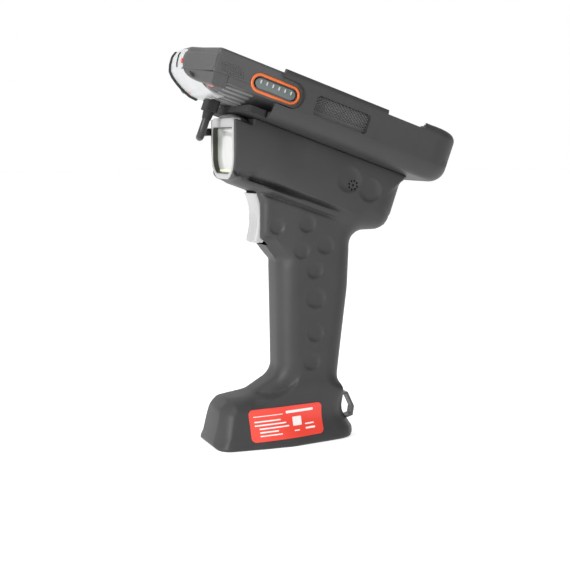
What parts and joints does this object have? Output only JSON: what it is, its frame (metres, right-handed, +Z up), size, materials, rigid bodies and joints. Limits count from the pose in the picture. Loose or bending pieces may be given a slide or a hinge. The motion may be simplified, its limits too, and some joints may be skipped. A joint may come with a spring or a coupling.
{
  "type": "pistol grip scanner handle with handheld computer",
  "caption": "Pistol-shaped trigger handle with a barcode scanner in its head, a cradle on top and a handheld computer in it, joined by a short lead.",
  "frame": {"origin": "on the flat underside of the foot, in the middle plane, below the grip", "axes": "+Z up through the grip, +X backwards (the scanner looks along -X), +Y to the handle's right side"},
  "size_m": [0.1461, 0.084, 0.2126],
  "materials": {
    "housing_plastic": "charcoal matte moulding with a fine texture",
    "cradle_plastic": "charcoal matte moulding with a fine texture",
    "phone_plastic": "dark grey matte moulding",
    "panel_rubber": "dark grey knurled rubber",
    "light_plastic": "light grey matte moulding",
    "nose_plastic": "light grey satin moulding",
    "accent_red": "red",
    "ring_orange": "orange satin moulding",
    "key_rubber": "grey rubber",
    "label_red": "red printed film with plain white bars",
    "black_rubber": "black",
    "cord_rubber": "black sheath",
    "scan_glass": "clear window",
    "lens_glass": "coated lens",
    "screen_glass": "black cover glass",
    "lamp_plastic": "clear lamp body",
    "inner_black": "black moulding",
    "board_green": "green circuit board",
    "cell_wrap": "shrink wrap",
    "contact_brass": "plated brass",
    "screw_steel": "zinc plated steel",
    "spring_steel": "spring wire",
    "bracket_steel": "sheet steel",
    "loop_steel": "dark coated metal"
  },
  "bodies": {
    "handle": {"housing_left": "housing_plastic", "housing_right": "housing_plastic", "base_cover": "housing_plastic", "base_cover_screws": "screw_steel", "housing_screws": "screw_steel", "base_label": "label_red", "lanyard_loop": "loop_steel", "trigger_pin": "screw_steel", "trigger_spring": "spring_steel", "trigger_bracket": "bracket_steel", "trigger_switch": "inner_black", "scanner_bezel": "light_plastic", "scanner_window": "scan_glass", "scan_engine": "inner_black", "imager_lens": "lens_glass", "illumination_lamps": "lamp_plastic", "engine_bracket": "bracket_steel", "main_board": "board_green", "board_screws": "screw_steel", "board_chips": "inner_black", "beeper": "inner_black", "grip_cell": "cell_wrap", "cell_contact_top": "contact_brass", "cell_contact_bottom": "spring_steel", "cell_holder": "inner_black", "head_top_cap": "light_plastic", "support_pad": "black_rubber", "cradle": "cradle_plastic", "cradle_screws": "screw_steel", "phone_frame": "phone_plastic", "phone_back": "phone_plastic", "phone_nose_cap": "nose_plastic", "nose_bumper": "black_rubber", "nose_accents": "accent_red", "display_glass": "screen_glass", "display_panel": "inner_black", "phone_board": "board_green", "phone_battery": "cell_wrap", "phone_screws": "screw_steel", "side_panel_left": "panel_rubber", "side_panel_right": "panel_rubber", "key_ring_left": "ring_orange", "key_ring_right": "ring_orange", "plug": "black_rubber", "plug_relief": "black_rubber", "cord": "cord_rubber", "cord_gland": "black_rubber"},
    "trigger": {"trigger": "light_plastic"},
    "scan_key_left": {"scan_key_left": "key_rubber"},
    "scan_key_right": {"scan_key_right": "key_rubber"},
    "power_key": {"power_key": "key_rubber"}
  },
  "joints": [
    {"name": "trigger_pull", "type": "hinge", "parent": "handle", "child": "trigger", "pos_m": [-0.008, 0, 0.133], "axis": [0, -1, 0], "range_deg": [0, 9], "stiffness_Nm_per_rad": 0.25, "springref_deg": -5.73, "deforming": ["trigger_spring"]},
    {"name": "scan_key_left_press", "type": "slide", "parent": "handle", "child": "scan_key_left", "axis": [0, 1, 0], "range_m": [0, 0.0006], "stiffness_N_per_m": 900},
    {"name": "scan_key_right_press", "type": "slide", "parent": "handle", "child": "scan_key_right", "axis": [0, -1, 0], "range_m": [0, 0.0006], "stiffness_N_per_m": 900},
    {"name": "power_key_press", "type": "slide", "parent": "handle", "child": "power_key", "axis": [0, -1, 0], "range_m": [0, 0.0005], "stiffness_N_per_m": 900}
  ]
}
